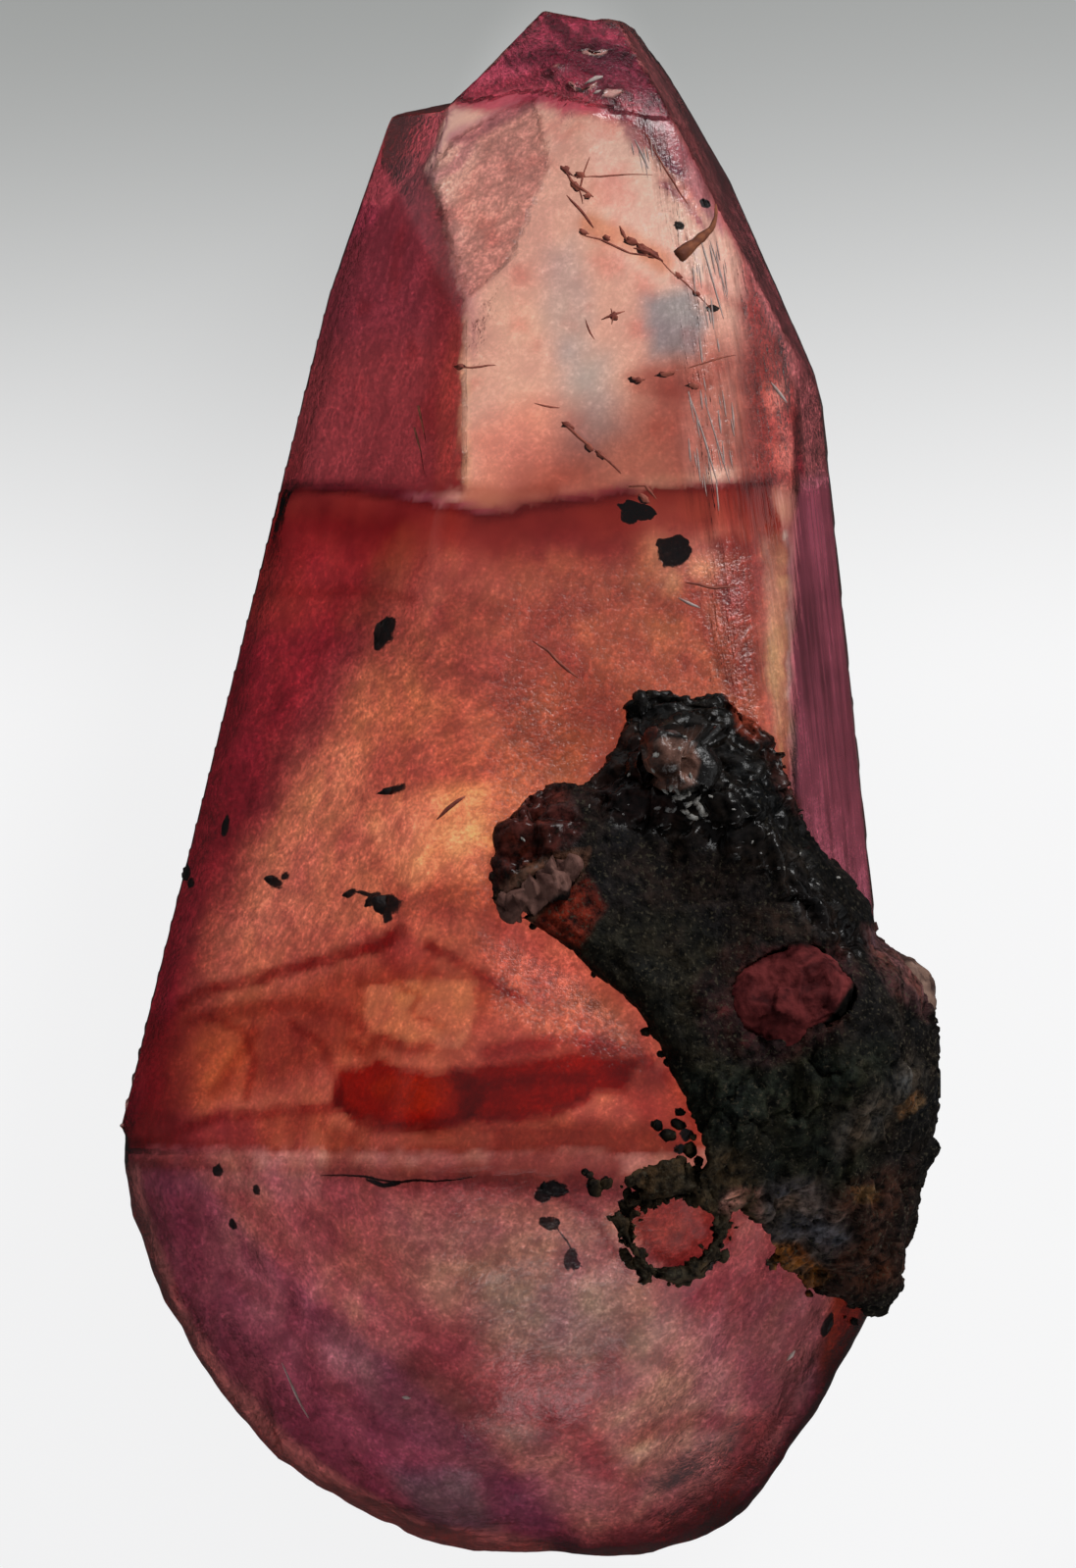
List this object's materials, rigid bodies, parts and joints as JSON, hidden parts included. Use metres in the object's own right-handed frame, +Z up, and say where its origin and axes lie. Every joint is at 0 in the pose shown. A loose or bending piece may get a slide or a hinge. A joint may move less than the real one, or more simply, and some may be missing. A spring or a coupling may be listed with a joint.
{
  "type": "ruby crystal with amphibole matrix",
  "caption": "Long tapering see-through ruby crystal with flat pyramid faces, a broken rounded lower end and a crust of dark amphibole rock, lying on its flat back.",
  "frame": {"origin": "on the surface that the crystal's flat back face lies on, under the middle of the whole specimen's box", "axes": "+Y along the crystal towards its tip, +Z up from the flat back face through the front face, +X to the right seen from the front"},
  "size_m": [0.0086, 0.016, 0.0063],
  "materials": {
    "ruby": "clear purplish red, glossy on its faces and frosted where it is etched or broken",
    "amphibole": "rough, greenish black, with small glossy cleavage glints",
    "dull_ruby": "dull, satin",
    "feldspar": "glassy, partly clear",
    "stained_feldspar": "satin, pinkish brown"
  },
  "bodies": {
    "root": {"ruby_crystal": "ruby", "amphibole_rock": "amphibole", "ruby_grain": "dull_ruby", "glassy_grain": "feldspar", "pale_vein": "feldspar", "edge_grain": "stained_feldspar"}
  },
  "joints": []
}
